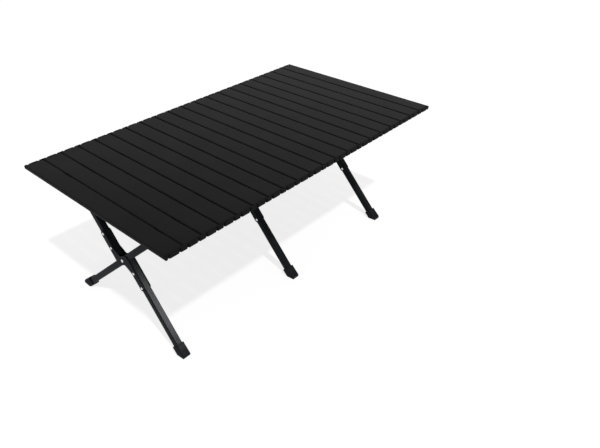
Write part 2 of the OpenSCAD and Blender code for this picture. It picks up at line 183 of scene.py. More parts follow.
class Finishes(bpy.types.PropertyGroup):
    """Colours of the finishes, as sRGB hex values."""

    slat: hex_colour("Slats", "Powder coat of the slats", "#121212")
    slat_worn: hex_colour("Slats, drift", "Lighter drift of the slats' powder coat", "#161616")
    cap: hex_colour("Caps", "Moulded end caps", "#141414")
    tube: hex_colour("Tubes", "Paint of the tubes", "#15181b")
    tube_dull: hex_colour("Tubes, drift", "Duller drift of the tubes' paint", "#1a1d20")
    plate: hex_colour("Plates", "Paint of the cross plates", "#17181a")
    nylon: hex_colour("Nylon", "Moulded heads, lugs and catches", "#141415")
    rubber: hex_colour("Rubber", "Boots", "#191a1b")
    steel: hex_colour("Steel", "Zinc on rivets and pins", "#d4d5d6")
    floor: hex_colour("Floor", "Studio floor", "#f4f4f4")


class Studio(bpy.types.PropertyGroup):
    """Camera, lights and floor."""

    camera_at: FloatVectorProperty(name="Camera", description="Place of the camera", subtype="TRANSLATION",
                                   unit="LENGTH", default=(-1.2757, -1.1093, 1.2459))
    camera_turn: FloatVectorProperty(name="Camera turn", description="Turn of the camera", subtype="EULER",
                                     unit="ROTATION",
                                     default=tuple(math.radians(a) for a in (57.554, 0.256, -44.544)))
    lens: FloatProperty(name="Lens", description="Focal length in millimetres on a 36 mm film",
                        default=35.777)
    shift: FloatVectorProperty(name="Shift", description="Shift of the lens, in frame widths", size=2,
                               default=(0.1633, -0.0316))
    sky: FloatProperty(name="Sky", description="Strength of the even light from all round", default=0.4)
    key: FloatProperty(name="Key", description="Strength of the key light in watts per square metre",
                       default=1.9)
    key_angle: FloatProperty(name="Key angle", description="Width of the key light, which softens the shadow",
                             subtype="ANGLE", default=math.radians(2.5))
    key_from: FloatVectorProperty(name="Key from", description="Direction that the key light comes from",
                                  subtype="DIRECTION", default=(-0.32, -0.5, 1.0))
    strip: FloatProperty(name="Strip light", description="Power of the strip light in watts", default=2.4)
    strip_at: FloatVectorProperty(name="Strip place", description="Place of the strip light",
                                  subtype="TRANSLATION", unit="LENGTH", default=(-0.325, -0.377, 0.309))
    strip_to: FloatVectorProperty(name="Strip target", description="Point that the strip light faces",
                                  subtype="TRANSLATION", unit="LENGTH", default=(-0.488, -0.14, 0.11))
    strip_size: FloatVectorProperty(name="Strip size", description="Width and height of the strip light",
                                    size=2, unit="LENGTH", default=(0.12, 0.25))
    strip_spread: FloatProperty(name="Strip spread", description="Angle of the strip light's beam",
                                subtype="ANGLE", default=math.radians(120))
    glow: FloatProperty(name="Glow", description="White that the camera sees on the floor, even in shadow",
                        default=0.87)
    shade: FloatProperty(name="Shade", description="Grey that the light adds to it outside the shadow",
                         default=0.28)


def linear(colour):
    """An sRGB hex value as linear red, green, blue and alpha."""
    srgb = np.array([int(colour[i:i + 2], 16) for i in (1, 3, 5)]) / 255
    low = srgb / 12.92
    high = ((srgb + 0.055) / 1.055) ** 2.4
    return (*np.where(srgb <= 0.04045, low, high), 1.0)


# Flat outlines


def rounded_polygon(corners, radii, steps=ARC_STEPS):
    """A closed outline whose corners are arcs.

    Each arc is tangent to both sides of its corner. Its centre lies on the corner's bisector, at the radius
    over the sine of half the angle, and its points are the arc's two end spokes mixed by the sines of the
    angle that is left and the angle that is gone.
    """
    corners = np.asarray(corners, float)
    radii = np.broadcast_to(np.maximum(np.asarray(radii, float), SMALLEST_ROUND), len(corners))[:, None]
    back = np.roll(corners, 1, axis=0) - corners
    ahead = np.roll(corners, -1, axis=0) - corners
    back /= np.linalg.norm(back, axis=1, keepdims=True)
    ahead /= np.linalg.norm(ahead, axis=1, keepdims=True)
    half = np.arccos(np.clip((back * ahead).sum(1, keepdims=True), -1, 1)) / 2
    bisector = (back + ahead) / np.linalg.norm(back + ahead, axis=1, keepdims=True)
    centre = corners + bisector * radii / np.sin(half)
    first = corners + back * radii / np.tan(half) - centre
    last = corners + ahead * radii / np.tan(half) - centre
    sweep = (np.pi - 2 * half)[:, :, None]
    share = np.linspace(0, 1, steps)[None, :, None]
    spokes = np.sin((1 - share) * sweep) * first[:, None] + np.sin(share * sweep) * last[:, None]
    return (centre[:, None] + spokes / np.sin(sweep)).reshape(-1, 2)


def rounded_rectangle(width, height, radius, middle=(0, 0)):
    """A rectangle with round corners, counterclockwise from the lower right corner."""
    corners = np.array([[1, -1], [1, 1], [-1, 1], [-1, -1]]) * (width / 2, height / 2) + middle
    return rounded_polygon(corners, radius)


def inset(outline, distance):
    """A counterclockwise outline moved inwards: each point goes along the mitre of its two sides' normals."""
    side = np.roll(outline, -1, axis=0) - outline
    side /= np.linalg.norm(side, axis=1, keepdims=True)
    normal = np.stack([-side[:, 1], side[:, 0]], axis=1)
    before = np.roll(normal, 1, axis=0)
    mitre = (normal + before) / (1 + (normal * before).sum(1, keepdims=True))
    return outline + distance * mitre


# Surfaces: each is a pair of points and faces


def rings_surface(rings, closed=True):
    """A skin over rings of equally many points, with a flat face on the first and last ring when closed."""
    count, around = rings.shape[:2]
    index = np.arange(count * around).reshape(count, around)
    ahead = np.roll(index, -1, axis=1)
    quads = np.stack([index[:-1], ahead[:-1], ahead[1:], index[1:]], axis=-1).reshape(-1, 4)
    faces = quads.tolist()
    if closed:
        faces += [index[0, ::-1].tolist(), index[-1].tolist()]
    return rings.reshape(-1, 3), faces


def rounded_prism(outline, low, high, radius, steps=3):
    """An outline carried along the third axis from low to high, with quarter rounds at both ends.

    At the angle a of the round, the outline is inset by the radius times one minus the sine of a, at a
    height of the radius times one minus the cosine of a.
    """
    angle = np.linspace(0, np.pi / 2, steps + 1)
    insets = radius * (1 - np.sin(angle))
    rises = radius * (1 - np.cos(angle))
    levels = np.concatenate([low + rises, high - rises[::-1]])
    outlines = [inset(outline, d) for d in np.concatenate([insets, insets[::-1]])]
    heights = np.broadcast_to(levels[:, None, None], (len(levels), len(outline), 1))
    return rings_surface(np.concatenate([np.array(outlines), heights], axis=2))


def turned(profile, steps=28):
    """A profile of radius and height turned round the third axis."""
    angle = np.linspace(0, 2 * np.pi, steps, endpoint=False)
    radius, height = np.asarray(profile, float).T
    rings = np.stack([np.outer(radius, np.cos(angle)), np.outer(radius, np.sin(angle)),
                      np.repeat(height[:, None], steps, axis=1)], axis=-1)
    return rings_surface(rings)


def domed_head(radius, rise, rim_share=0.3, crown_share=0.92, steps=6):
    """A rivet head: a low rim, then most of a quarter ellipse up to a small flat at the top."""
    angle = np.linspace(0, np.pi / 2 * crown_share, steps)
    rim = rim_share * rise
    dome = np.stack([radius * np.cos(angle), rim + (rise - rim) * np.sin(angle)], axis=1)
    return turned(np.concatenate([[[radius, 0]], dome]))


def placed(surface, origin, u, v, w):
    """A surface in the axes u, v and w about an origin."""
    points, faces = surface
    return np.asarray(origin) + points @ np.array([u, v, w]), faces


def piece(name, surfaces, material, body, stands_for=(), merge=False):
    """One object made of surfaces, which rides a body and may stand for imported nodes."""
    starts = np.cumsum([0] + [len(points) for points, _ in surfaces])
    points = np.concatenate([points for points, _ in surfaces])
    faces = [[i + start for i in face] for start, (_, shape) in zip(starts, surfaces) for face in shape]
    mesh = bpy.data.meshes.new(name)
    mesh.from_pydata(points, [], faces)
    work = bmesh.new()
    work.from_mesh(mesh)
    if merge:
        bmesh.ops.remove_doubles(work, verts=work.verts, dist=MERGE_WITHIN)
    bmesh.ops.recalc_face_normals(work, faces=work.faces)
    work.to_mesh(mesh)
    work.free()
    mesh.polygons.foreach_set("use_smooth", np.ones(len(mesh.polygons), bool))
    mesh.set_sharp_from_angle(angle=SHARP_ANGLE)
    mesh.materials.append(material)
    made = bpy.data.objects.new(name, mesh)
    bpy.context.scene.collection.objects.link(made)
    made.modifiers.new("even shading", "WEIGHTED_NORMAL").keep_sharp = True
    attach(made, body)
    if stands_for:
        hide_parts(*stands_for)
    return made


# Finishes


def add_node(tree, kind, settings=None, links=None):
    """Adds a node, sets its sockets or properties by name, and links sources to its sockets.

    A link's socket goes by its name, or by its number where two sockets share a name.
    """
    node = tree.nodes.new(kind)
    for name, value in (settings or {}).items():
        if name in node.inputs:
            node.inputs[name].default_value = value
        else:
            setattr(node, name, value)
    for socket, source in (links or {}).items():
        tree.links.new(source, node.inputs[socket])
    return node


def finish(name, base, drift=None, *, roughness, specular, grain, bump, metallic=0.0, stretch=None,
           gloss_drift=0.03):
    """A finish in one tone or in two close ones, with an uneven gloss and a fine relief.

    The grain is a noise of the given size in millimetres, stretched along the piece where the making left
    lines. It drives the gloss, by gloss_drift to both sides of the roughness, and a relief of the depth bump
    in millimetres. A second tone comes and goes over the length TONE_DRIFT.
    """
    material = bpy.data.materials.get(name)
    if material:
        return material
    material = bpy.data.materials.new(name)
    material.use_nodes = True
    tree = material.node_tree
    tree.nodes.clear()
    place = drawn = add_node(tree, "ShaderNodeTexCoord").outputs["Object"]
    if stretch:
        drawn = add_node(tree, "ShaderNodeMapping", {"Scale": stretch}, {"Vector": place}).outputs["Vector"]
    fine = add_node(tree, "ShaderNodeTexNoise", {"Scale": 1 / (grain * MM), "Detail": 3.0},
                    {"Vector": drawn}).outputs["Fac"]
    gloss = add_node(tree, "ShaderNodeMapRange",
                     {"From Min": NOISE_SPAN[0], "From Max": NOISE_SPAN[1],
                      "To Min": roughness - gloss_drift, "To Max": roughness + gloss_drift}, {"Value": fine})
    relief = add_node(tree, "ShaderNodeBump", {"Strength": 1.0, "Distance": bump * MM}, {"Height": fine})
    shader = add_node(tree, "ShaderNodeBsdfPrincipled",
                      {"Base Color": linear(base), "Metallic": metallic, "Specular IOR Level": specular},
                      {"Roughness": gloss.outputs["Result"], "Normal": relief.outputs["Normal"]})
    if drift:
        cloud = add_node(tree, "ShaderNodeTexNoise", {"Scale": 1 / TONE_DRIFT, "Detail": 4.0},
                         {"Vector": place})
        tones = add_node(tree, "ShaderNodeValToRGB", links={"Fac": cloud.outputs["Fac"]})
        for stop, position, colour in zip(tones.color_ramp.elements, TONE_SPAN, (base, drift)):
            stop.position = position
            stop.color = linear(colour)
        tree.links.new(tones.outputs["Color"], shader.inputs["Base Color"])
    add_node(tree, "ShaderNodeOutputMaterial", links={"Surface": shader.outputs["BSDF"]})
    return material


def slat_finish(colours):
    """Powder coat on extruded aluminium: matte, with faint lines from the die, drawn 1.6 mm wide to show."""
    return finish("black powder coat on aluminium", colours.slat, colours.slat_worn, roughness=0.45,
                  specular=0.035, grain=1.6, bump=0.02, stretch=(1, 0.06, 1))


def cap_finish(colours):
    """Moulded nylon: a spark-eroded mould leaves an even fine grain. It is drawn at 1.2 mm to show."""
    return finish("moulded nylon caps", colours.cap, colours.slat, roughness=0.6, specular=0.03, grain=1.2,
                  bump=0.03)


def nylon_finish(colours):
    """Moulded glass-filled nylon of the heads and lugs: the caps' grain, a little glossier."""
    return finish("glass-filled nylon", colours.nylon, colours.cap, roughness=0.5, specular=0.1, grain=1.2,
                  bump=0.03)


def tube_finish(colours):
    """Baked black paint on steel tube: satin, with a slight orange peel."""
    return finish("satin black paint on steel", colours.tube, colours.tube_dull, roughness=0.34,
                  specular=0.03, grain=3.0, bump=0.004, gloss_drift=0.008)


def plate_finish(colours):
    """The same paint on pressed steel, thinner and a little flatter."""
    return finish("satin black paint on pressed steel", colours.plate, colours.tube_dull, roughness=0.4,
                  specular=0.03, grain=2.2, bump=0.006, gloss_drift=0.012)


def rubber_finish(colours):
    """Moulded thermoplastic rubber: dull grey-black with a dry grain, drawn at 1.4 mm to show."""
    return finish("moulded rubber", colours.rubber, colours.tube_dull, roughness=0.66, specular=0.05,
                  grain=1.4, bump=0.05)


def steel_finish(colours):
    """Bright zinc on steel: a clear metal with a slight grain, drawn at 0.9 mm to show."""
    return finish("bright zinc on steel", colours.steel, roughness=0.26, specular=0.5, grain=0.9, bump=0.01,
                  metallic=1.0)


# Top


def slat_x(k):
    """The middle of slat k, counted from 1: half a pitch before the hinge that follows it."""
    return FIRST_HINGE[0] + (k - 1.5) * SLAT_PITCH


def cap_layer(left, right, z, front_inset, out, back, side, notches=(), notch=0.0, depth=0.0, steps=41):
    """One layer of an end cap, a block between two outlines that depend on the height.

    A grid of x samples is held between left(z) and right(z). The front face lies at the distance out from
    the middle of the table and is drawn in by its edge round. At a notch, with d the distance from its
    middle and m = depth - notch, it dips by a round end, m + sqrt(notch^2 - d^2), down to a thin skin on the
    back, and beside that by a round mouth, m - sqrt(m^2 - (notch + m - d)^2).
    """
    skin = 0.05 * MM
    same = 1e-9
    mouth = depth - notch
    turn = np.linspace(0, np.pi / 2, ARC_STEPS)
    reach = np.concatenate([notch * np.sin(turn), notch + mouth * (1 - np.cos(turn[1:]))])
    samples = [np.linspace(left.min(), right.max(), steps)]
    samples += [at + way * reach for at in notches for way in (-1, 1)]
    x = np.clip(np.sort(np.concatenate(samples))[:, None], left, right)
    dips = np.zeros_like(x)
    for at in notches:
        away = np.abs(x - at)
        slot = mouth + np.sqrt(np.maximum(notch ** 2 - away ** 2, 0))
        beside = mouth - np.sqrt(np.maximum(mouth ** 2 - np.maximum(notch + mouth - away, 0) ** 2, 0))
        dips = np.maximum(dips, np.where(away < notch + same, slot, beside))
    height = np.broadcast_to(z, x.shape)
    front = np.stack([x, side * np.maximum(out - front_inset - dips, back + skin), height], axis=-1)
    rear = np.stack([x, np.full_like(x, side * back), height], axis=-1)
    points, faces = rings_surface(np.concatenate([front, rear[:, ::-1]], axis=1), closed=False)
    # The two end faces follow the outlines in strips from the front to the rear, because they are curved
    around = 2 * len(z)
    up = np.arange(len(z) - 1)
    strip = np.stack([up, up + 1, around - 2 - up, around - 1 - up], axis=1)
    return points, faces + strip[:, ::-1].tolist() + (strip + len(points) - around).tolist()


class CAMPTABLE_OT_slat_bars(bpy.types.Operator):
    """Extruded bars of the top, one for each slat"""

    bl_idname = "camp_table.slat_bars"
    bl_label = "Slat bars"

    def execute(self, context):
        sizes = context.scene.camp_table_slats
        thick = SLAT_HIGH[2] - SLAT_LOW[2] - sizes.seat
        half_length = SLAT_HIGH[1] - 2 * sizes.layer
        outline = rounded_rectangle(sizes.width, thick, sizes.edge, (0, SLAT_HIGH[2] - thick / 2))
        bar = rounded_prism(outline, -half_length, half_length, sizes.bar_end)
        material = slat_finish(context.scene.camp_table_finishes)
        for k, node in enumerate(SLAT_NODES, 1):
            piece(node.replace("slat", "slat_bar"), [placed(bar, slat_x(k) * X, X, Z, Y)], material, node,
                  [node])
        return {"FINISHED"}


class CAMPTABLE_OT_slat_caps(bpy.types.Operator):
    """Moulded caps with hinge ears on both ends of each slat"""

    bl_idname = "camp_table.slat_caps"
    bl_label = "Slat end caps"

    def execute(self, context):
        sizes = context.scene.camp_table_slats
        material = cap_finish(context.scene.camp_table_finishes)
        low, high = SLAT_LOW[2], SLAT_HIGH[2]
        hinge = FIRST_HINGE[2]
        rows, edge_rows = 22, 5
        turn = np.linspace(0, np.pi / 2, edge_rows)
        edge_inset = sizes.cap_round * (1 - np.sin(turn))
        edge_rise = sizes.cap_round * (1 - np.cos(turn))
        straight = np.linspace(low + sizes.cap_round, high - sizes.cap_round, rows)[1:-1]
        # The inner ears end at a ledge, so one row lies close under it and one close above
        ledge = high - sizes.inner_drop
        close = 0.01 * MM
        middle = np.sort(np.concatenate([straight, [ledge - close, ledge + close]]))
        z = np.concatenate([low + edge_rise, middle, high - edge_rise[::-1]])
        front = np.concatenate([edge_inset, np.zeros_like(middle), edge_inset[::-1]])

        # The slat's own end view: straight sides with quarter rounds at the top and the bottom
        depth = np.maximum(sizes.edge - np.minimum(z - low, high - z), 0)
        drawn_in = sizes.edge - np.sqrt(sizes.edge ** 2 - depth ** 2)
        slat_left = -sizes.width / 2 + drawn_in
        slat_right = sizes.width / 2 - drawn_in
        half = SLAT_PITCH / 2

        def chord(radius):
            """Half the width of a disc about a hinge line at each height."""
            return np.sqrt(np.maximum(radius ** 2 - (z - hinge) ** 2, 0))

        ear_side = (z < ledge) & (np.abs(z - hinge) < sizes.inner_ear)
        ear_left = np.where(ear_side, np.minimum(-half - chord(sizes.inner_ear), slat_left), slat_left)
        ear_right = half + chord(sizes.outer_ear)
        cut_left = -half + chord(sizes.outer_ear + sizes.ear_gap)
        cut_right = np.minimum(half - chord(sizes.inner_ear + sizes.ear_gap), slat_right)
        notch_reach = sizes.outer_ear - sizes.ear_gap
        notches = [at + way * notch_reach for at in (-half, half) for way in (-1, 1)]
        end = SLAT_HIGH[1]
        between = end - sizes.layer
        flat = np.zeros_like(z)
        for k, node in enumerate(SLAT_NODES, 1):
            first, last = k == 1, k == len(SLAT_NODES)
            outer = (slat_left if first else cut_left, slat_right if last else ear_right)
            inner = (slat_left if first else ear_left, slat_right if last else cut_right)
            layers = []
            for side in (-1, 1):
                layers.append(cap_layer(*outer, z, front, end, between + sizes.slack, side, notches,
                                        sizes.notch, sizes.notch_depth))
                layers.append(cap_layer(*inner, z, flat, between, between - sizes.layer, side))
            layers = [placed(layer, slat_x(k) * X, X, Y, Z) for layer in layers]
            piece(node.replace("slat", "slat_caps"), layers, material, node, merge=True)
        return {"FINISHED"}


# X frames


def split_leg_axes():
    """Across and along the split leg, in the plane of its frame."""
    across = np.array([0, math.sin(LEG_RISE), -math.cos(LEG_RISE)])
    along = np.array([0, math.cos(LEG_RISE), math.sin(LEG_RISE)])
    return across, along


def both_faces(surface, origin, u, v, reach):
    """A surface on both sides of a frame, at the distance reach along X."""
    return [placed(surface, origin + way * reach * X, u, v, way * X) for way in (-1, 1)]


class CAMPTABLE_OT_cross_plates(bpy.types.Operator):
    """Pressed plates at the crossing of the legs, their rivets and the cranked lugs"""

    bl_idname = "camp_table.cross_plates"
    bl_label = "Cross plates"

    def execute(self, context):
        sizes = context.scene.camp_table_frames
        colours = context.scene.camp_table_finishes
        across, along = split_leg_axes()
        half = sizes.tube / 2
        inner, outer = sizes.nest - half, sizes.nest + half
        arm_end = sizes.first_rivet + sizes.rivet_step + half
        # Half of the plate's outline. The other half is the same, turned by half a turn about the pivot
        corners = np.array([[-inner, -arm_end], [-outer, -arm_end], [-outer, 0],
                            [-sizes.nest, sizes.shoulder], [0, sizes.web], [inner, sizes.flare]])
        corners = np.concatenate([corners, -corners])[::-1]
        arm_round = PLATE_END * half
        side_round, shoulder_round, web_round, flare_round = np.array([4, 10, 10, 6]) * MM
        rounds = [arm_round, arm_round, side_round, shoulder_round, web_round, flare_round]
        outline = rounded_polygon(corners, (rounds + rounds)[::-1], steps=9)
        plate = rounded_prism(outline, 0, sizes.plate, sizes.plate_edge)
        places = [(way * sizes.nest, way * (sizes.first_rivet + i * sizes.rivet_step))
                  for way in (-1, 1) for i in (0, 1)]
        tube_rivet = domed_head(sizes.rivet, sizes.rivet_rise)
        pivot_rivet = domed_head(sizes.pivot, sizes.rivet_rise)

        lug_corners = [(-half, half), (-half, -half), (inner, -sizes.lug_length), (outer, -sizes.lug_length),
                       (outer, half - sizes.lug_length), (half, 0), (half, half)]
        lug_rounds = [0.9 * half, 4 * MM, 1 * MM, 1 * MM, 6 * MM, 2 * MM, 0.4 * half]
        lug_gap, lug_edge = 0.1 * MM, 0.8 * MM
        lug_side = rounded_polygon(lug_corners, lug_rounds)
        lug = rounded_prism(lug_side, lug_gap - half, half - lug_gap, lug_edge)

        for word, pivot in FRAME_AT.items():
            body = "split_leg_" + word
            plates = both_faces(plate, pivot, across, along, half)
            piece("cross_plates_" + word, plates, plate_finish(colours), body,
                  ["cross_bracket_" + word])
            face = half + sizes.plate
            rivets = both_faces(pivot_rivet, pivot, across, along, face)
            for u, v in places:
                rivets += both_faces(tube_rivet, pivot + u * across + v * along, across, along, face)
            piece("rivet_heads_" + word, rivets, steel_finish(colours), body,
                  ["cross_rivets_" + word])
            pin = JOINT_AT["far_head_fold_" + word]
            piece("cranked_lug_" + word, [placed(lug, pin, across, along, X)], nylon_finish(colours), body,
                  ["top_lug_" + word])
        return {"FINISHED"}


class CAMPTABLE_OT_leg_tubes(bpy.types.Operator):
    """Paint on the leg tubes and nylon on the catches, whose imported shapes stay"""

    bl_idname = "camp_table.leg_tubes"
    bl_label = "Leg tubes and catches"

    def execute(self, context):
        colours = context.scene.camp_table_finishes
        for name, node in frame["nodes"].items():
            if name.startswith(("straight_leg", "split_lower_tube", "split_upper_tube")):
                node.data.materials.clear()
                node.data.materials.append(tube_finish(colours))
            elif name.startswith("catches"):
                node.data.materials.clear()
                node.data.materials.append(nylon_finish(colours))
        return {"FINISHED"}


# Feet


def boot_outline(half, corner, crossing, flat=29):
    """The cross section of a boot, counterclockwise, and the number of its points on the toe's part.

    It is a square with round corners. It starts on the right where the toe's face meets the floor, runs
    round the toe, whose straight side has many points for the grooves, and comes back round the heel.
    """
    middle = half - corner
    turn = np.linspace(0, np.pi / 2, ARC_STEPS)
    arc = corner * np.stack([np.cos(turn), np.sin(turn)], axis=1)
    straight = np.linspace(middle, 0, flat)[1:]
    half_side = np.stack([straight, np.full_like(straight, half)], axis=1)
    right = np.concatenate([[(half, crossing)], arc + middle, half_side])
    toe = np.concatenate([right, right[-2::-1] * (-1, 1)])
    heel = np.concatenate([-arc - middle, (arc * (1, -1) + (middle, -middle))[::-1]])
    return np.concatenate([toe, heel]), len(toe)


def boot(sizes, tube_half, slope):
    """A boot in the axes of its leg: across, from heel to toe, and up along the leg from the floor.

    The outline is carried down from the rim to where each of its points meets the floor or the upright
    toe, whichever is first. On the way its toe side leans out, by (top - height) tan(lean). The grooves are
    half cosine dips in that side and fade out up the leg.
    """
    half = sizes.width / 2
    crossing = sizes.toe * math.sin(slope)
    outline, toe_count = boot_outline(half, sizes.corner, crossing)
    # Room round the tube, softness of the rim, depth of the socket, fading of the grooves, and a tolerance
    fit, soft, socket, fading, same = np.array([0.15, 0.6, 8, 5, 0.01]) * MM
    hole = half - tube_half - fit
    offsets = (np.arange(sizes.grooves) - (sizes.grooves - 1) / 2) * sizes.groove_step
    phase = np.pi * (outline[:, :1] - offsets) / sizes.groove_width
    dips = sizes.groove_depth * np.where(np.abs(phase) < np.pi / 2, np.cos(phase), 0).sum(1)
    dips *= outline[:, 1] > half - same

    def floor_at(depth):
        """Where a line along the leg at this depth ends: on the floor or on the toe, whichever is higher."""
        return np.maximum(-depth / math.tan(slope), (depth * math.sin(slope) - sizes.toe) / math.cos(slope))

    def level(ring, height):
        """A ring with its height as the third coordinate."""
        return np.column_stack([ring, np.broadcast_to(height, len(ring))])

    top, neck = sizes.reach, sizes.reach - sizes.rim
    leaning = np.clip(outline[:, 1] / half, 0, 1) * math.tan(sizes.lean)
    lip = inset(outline, -sizes.lip)
    rings = [level(inset(outline, hole), top - socket), level(inset(outline, hole), top - soft),
             level(inset(outline, hole - soft), top), level(inset(lip, soft), top), level(lip, top - soft),
             level(lip, neck), level(outline, neck - sizes.lip)]
    # A side that leans further out ends at another height, so the two are settled in a few rounds
    spread = outline.copy()
    for _ in range(6):
        foot = floor_at(spread[:, 1]) + sizes.edge
        spread[:, 1] = outline[:, 1] + leaning * (top - foot)
    for share in np.linspace(0.08, 1, 14):
        height = (1 - share) * (neck - sizes.lip) + share * foot
        fade = np.clip((sizes.groove_length - height) / fading, 0, 1)
        ring = outline.copy()
        ring[:, 1] += leaning * (top - height) - dips * fade
        rings.append(level(ring, height))
    grooved = rings[-1][:, :2]
    for angle in np.radians([30, 60, 90]):
        ring = inset(spread, sizes.edge * (1 - math.cos(angle))) + grooved - spread
        rings.append(level(ring, floor_at(ring[:, 1]) + sizes.edge * (1 - math.sin(angle))))
    points, faces = rings_surface(np.array(rings), closed=False)
    last = np.arange(len(outline)) + len(points) - len(outline)
    sole = [last[:toe_count].tolist(), last[toe_count - 1:].tolist() + [int(last[0])]]
    return points, faces + sole + [list(range(len(outline)))]


class CAMPTABLE_OT_boots(bpy.types.Operator):
    """Rubber boots with grooved toes on the leg ends"""

    bl_idname = "camp_table.boots"
    bl_label = "Boots"

    def execute(self, context):
        frame_sizes = context.scene.camp_table_frames
        material = rubber_finish(context.scene.camp_table_finishes)
        shape = boot(context.scene.camp_table_feet, frame_sizes.tube / 2, LEG_RISE)
        across, _ = split_leg_axes()
        for word, pivot in FRAME_AT.items():
            legs = (("straight", Y, pivot), ("split", -Y, pivot - frame_sizes.nest * across))
            for leg, outward, start in legs:
                up = -outward * math.cos(LEG_RISE) + Z * math.sin(LEG_RISE)
                to_toe = outward * math.sin(LEG_RISE) + Z * math.cos(LEG_RISE)
                floor_point = start - up * start[2] / up[2]
                piece(f"{leg}_boot_{word}", [placed(shape, floor_point, X, to_toe, up)], material,
                      f"{leg}_leg_{word}", [f"{leg}_foot_{word}"])
        return {"FINISHED"}


# Rails


class CAMPTABLE_OT_rails(bpy.types.Operator):
    """Moulded heads, lapped rail tubes and their pins under the top"""

    bl_idname = "camp_table.rails"
    bl_label = "Rails and heads"

    def execute(self, context):
        sizes = context.scene.camp_table_rails
        colours = context.scene.camp_table_finishes
        nylon, paint, steel = nylon_finish(colours), tube_finish(colours), steel_finish(colours)
        half_h, half_t = sizes.height / 2, sizes.thick / 2
        lane = (sizes.lap + sizes.thick) / 2
        lane_face = sizes.lap / 2 + sizes.thick
        pin_drop = PIN_Z - RAIL_Z
        cheek_out = sizes.slot_half + sizes.cheek
        foot, slot_top = pin_drop - sizes.skirt, pin_drop + sizes.slot_top
        slot, half_depth, end_round = sizes.slot_half, sizes.head_depth / 2, TUBE_END * half_h
        saddle_corners = [(-cheek_out, foot), (-slot, foot), (-slot, slot_top), (slot, slot_top),
                          (slot, foot), (cheek_out, foot), (cheek_out, half_h), (-cheek_out, half_h)]
        saddle_rounds = np.array([1.5, 1.5, 4, 4, 1.5, 1.5, 2, 2]) * MM
        saddle = rounded_prism(rounded_polygon(saddle_corners, saddle_rounds), -half_depth, half_depth,
                               sizes.moulded_edge)
        rail_pin = domed_head(sizes.pin, sizes.pin_rise)
        leg_pin = domed_head(sizes.leg_pin, sizes.pin_rise)
        pin_x = abs(JOINT_AT["length_fold"][0])
        knuckle_x = abs(JOINT_AT["near_knuckle_left"][0])
        end_x = abs(FRAME_AT["right"][0])

        def lap_pin(x, lane_side):
            """Heads of a rail pin at x: tight on the lane that it is fixed in, loose on the other."""
            heads = []
            for way in (-1, 1):
                reach = lane_face + (0 if way == lane_side else sizes.pin_slack)
                heads.append(placed(rail_pin, (x, way * reach, 0), X, Z, way * Y))
            return heads

        def in_lane(corners, rounds, edge, lane_side, along=X):
            """A piece with this side view, as thick as a rail tube, in one of the two lanes of a rail."""
            outline = rounded_polygon(corners, rounds, steps=15)
            shape = rounded_prism(outline, -half_t, half_t, edge)
            return placed(shape, (0, lane_side * lane, 0), along, Z, Y)

        def flat_tube(x0, x1, lane_side):
            """A flat tube with round ends about the pins at x0 and x1."""
            left, right = x0 - half_h, x1 + half_h
            corners = [(right, -half_h), (right, half_h), (left, half_h), (left, -half_h)]
            return in_lane(corners, end_round, sizes.edge, lane_side)

        def lug(way, lane_side):
            """A lug on the side of a head, with a round end about its pin."""
            end = pin_x + half_h
            corners = [(slot, -half_h), (end, -half_h), (end, half_h), (slot, half_h)]
            return in_lane(corners, [0, end_round, end_round, 0], sizes.moulded_edge, lane_side, way * X)

        def stub(way):
            """An open flat tube: its outside, its rim and its inside, closed at the head."""
            start, end = cheek_out, sizes.stub_reach
            outside = rounded_rectangle(sizes.thick, sizes.height, sizes.edge)
            inside = inset(outside, sizes.wall)
            rim, plug = 0.3 * MM, 20 * MM
            levels = [(outside, start), (outside, end - rim), (inset(outside, rim), end),
                      (inset(inside, -rim), end), (inside, end - rim), (inside, start + plug)]
            rings = [np.column_stack([ring, np.full(len(ring), level)]) for ring, level in levels]
            return placed(rings_surface(np.array(rings)), (0, 0, 0), Y, Z, way * X)

        def on_rail(side, x, surfaces):
            """Surfaces moved to a rail, with Y pointing away from the middle of the table."""
            y, outward = RAILS[side]
            return [placed(surface, (x, y, RAIL_Z), X, outward, Z) for surface in surfaces]

        for side in RAILS:
            for way, word in zip((-1, 0, 1), FRAME_WORDS):
                node = f"{side}_head_{word}"
                x = way * end_x
                ways = (-way,) if way else (-1, 1)
                lane_side = 1 if way else -1
                head = [placed(saddle, (0, 0, 0), X, Z, Y)] + [lug(w, lane_side) for w in ways]
                piece(node.replace("head", "rail_head"), on_rail(side, x, head), nylon, node,
                      [node])
                pins = [pin for w in ways for pin in lap_pin(w * pin_x, lane_side)]
                pins += [placed(leg_pin, (w * cheek_out, 0, pin_drop), Y, Z, w * X) for w in (-1, 1)]
                piece(node.replace("head", "head_pins"), on_rail(side, x, pins), steel, node)
                if way:
                    piece(node.replace("head", "rail_stub"), on_rail(side, x, [stub(way)]), paint, node)
            for way, word in ((-1, "left"), (1, "right")):
                inner = f"{side}_inner_link_{word}"
                outer = f"{side}_outer_link_{word}"
                knuckle, end_pin = way * knuckle_x, way * (end_x - pin_x)
                tube = flat_tube(*sorted((way * pin_x, knuckle)), 1)
                piece(inner.replace("link", "rail"), on_rail(side, 0, [tube]), paint, inner,
                      [inner])
                tube = flat_tube(*sorted((knuckle, end_pin)), -1)
                piece(outer.replace("link", "rail"), on_rail(side, 0, [tube]), paint, outer,
                      [outer])
                piece(outer.replace("outer_link", "knuckle_pin"), on_rail(side, 0, lap_pin(knuckle, -1)),
                      steel, outer)
        return {"FINISHED"}


# Studio


